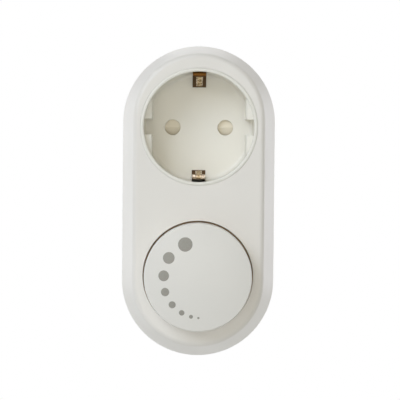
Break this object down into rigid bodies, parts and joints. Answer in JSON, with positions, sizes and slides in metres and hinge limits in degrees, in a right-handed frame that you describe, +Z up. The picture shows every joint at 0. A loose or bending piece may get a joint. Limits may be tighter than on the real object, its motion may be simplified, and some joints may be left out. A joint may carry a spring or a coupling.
{
  "type": "plug-in led dimmer",
  "caption": "Plug-in lamp dimmer: a stadium-shaped housing with an earthed socket above a large turn-and-press knob, and an earthed plug at its back.",
  "frame": {"origin": "middle of the rear plug's end face, on the common axis of the plug and the front socket", "axes": "+Y into the wall, along the plug's pins; +Z up, along the housing's length, from the knob to the socket; +X to the right as seen by the user"},
  "size_m": [0.0544, 0.077, 0.1112],
  "materials": {
    "housing_plastic": "satin off-white",
    "knob_plastic": "satin off-white",
    "shutter_plastic": "matt beige",
    "insulator": "matt brown",
    "contact_brass": "bare brass",
    "nickel_plate": "bright nickel",
    "zinc_steel": "zinc plated",
    "spring_steel": "bright wire",
    "black_plastic": "matt black",
    "board": "green solder mask",
    "heat_sink_aluminium": "mill",
    "pad_rubber": "matt",
    "capacitor_yellow": "satin",
    "ferrite": "matt",
    "copper_wire": "enamelled copper",
    "varistor_blue": "satin",
    "resistor_beige": "satin",
    "dot_ink": "matt grey print"
  },
  "bodies": {
    "housing": {"front_shell": "housing_plastic", "rear_shell": "housing_plastic", "socket_insert": "housing_plastic", "contact_base": "insulator", "live_contact": "contact_brass", "neutral_contact": "contact_brass", "live_pin": "nickel_plate", "neutral_pin": "nickel_plate", "live_bar": "contact_brass", "earth_clips": "contact_brass", "earth_strips": "contact_brass", "earth_rivet": "nickel_plate", "potentiometer_can": "zinc_steel", "potentiometer_nut": "nickel_plate", "resistance_track": "insulator", "terminal_lugs": "zinc_steel", "switch_case": "black_plastic", "circuit_board": "board", "heat_sink": "heat_sink_aluminium", "transistor_pads": "pad_rubber", "power_transistors": "black_plastic", "film_capacitor": "capacitor_yellow", "electrolytic_capacitor": "heat_sink_aluminium", "fuse": "black_plastic", "choke_core": "ferrite", "choke_winding": "copper_wire", "varistor": "varistor_blue", "control_chip": "black_plastic", "resistors": "resistor_beige", "case_screws": "zinc_steel", "shutter_spring": "spring_steel", "switch_spring": "spring_steel"},
    "switch_plunger": {"switch_plunger": "shutter_plastic"},
    "knob": {"knob": "knob_plastic", "control_shaft": "black_plastic"},
    "wiper": {"wiper": "contact_brass"},
    "shutter": {"shutter_slider": "shutter_plastic"}
  },
  "joints": [
    {"name": "knob_press", "type": "slide", "parent": "housing", "child": "switch_plunger", "axis": [0, 1, 0], "range_m": [0, 0.0015], "stiffness_N_per_m": 800, "springref_m": -0.0015, "deforming": ["switch_spring"]},
    {"name": "knob_turn", "type": "hinge", "parent": "switch_plunger", "child": "knob", "pos_m": [0, -0.0475, -0.0526], "axis": [0, 1, 0], "range_deg": [0, 270]},
    {"name": "wiper_turn", "type": "hinge", "parent": "housing", "child": "wiper", "pos_m": [0, -0.0475, -0.0526], "axis": [0, 1, 0], "range_deg": [0, 270]},
    {"name": "shutter_slide", "type": "slide", "parent": "housing", "child": "shutter", "axis": [0, 0, 1], "range_m": [0, 0.0063], "stiffness_N_per_m": 80, "springref_m": -0.003, "deforming": ["shutter_spring"]}
  ],
  "couplings": [
    {"joint": "wiper_turn", "follows": "knob_turn", "ratio": 1}
  ]
}
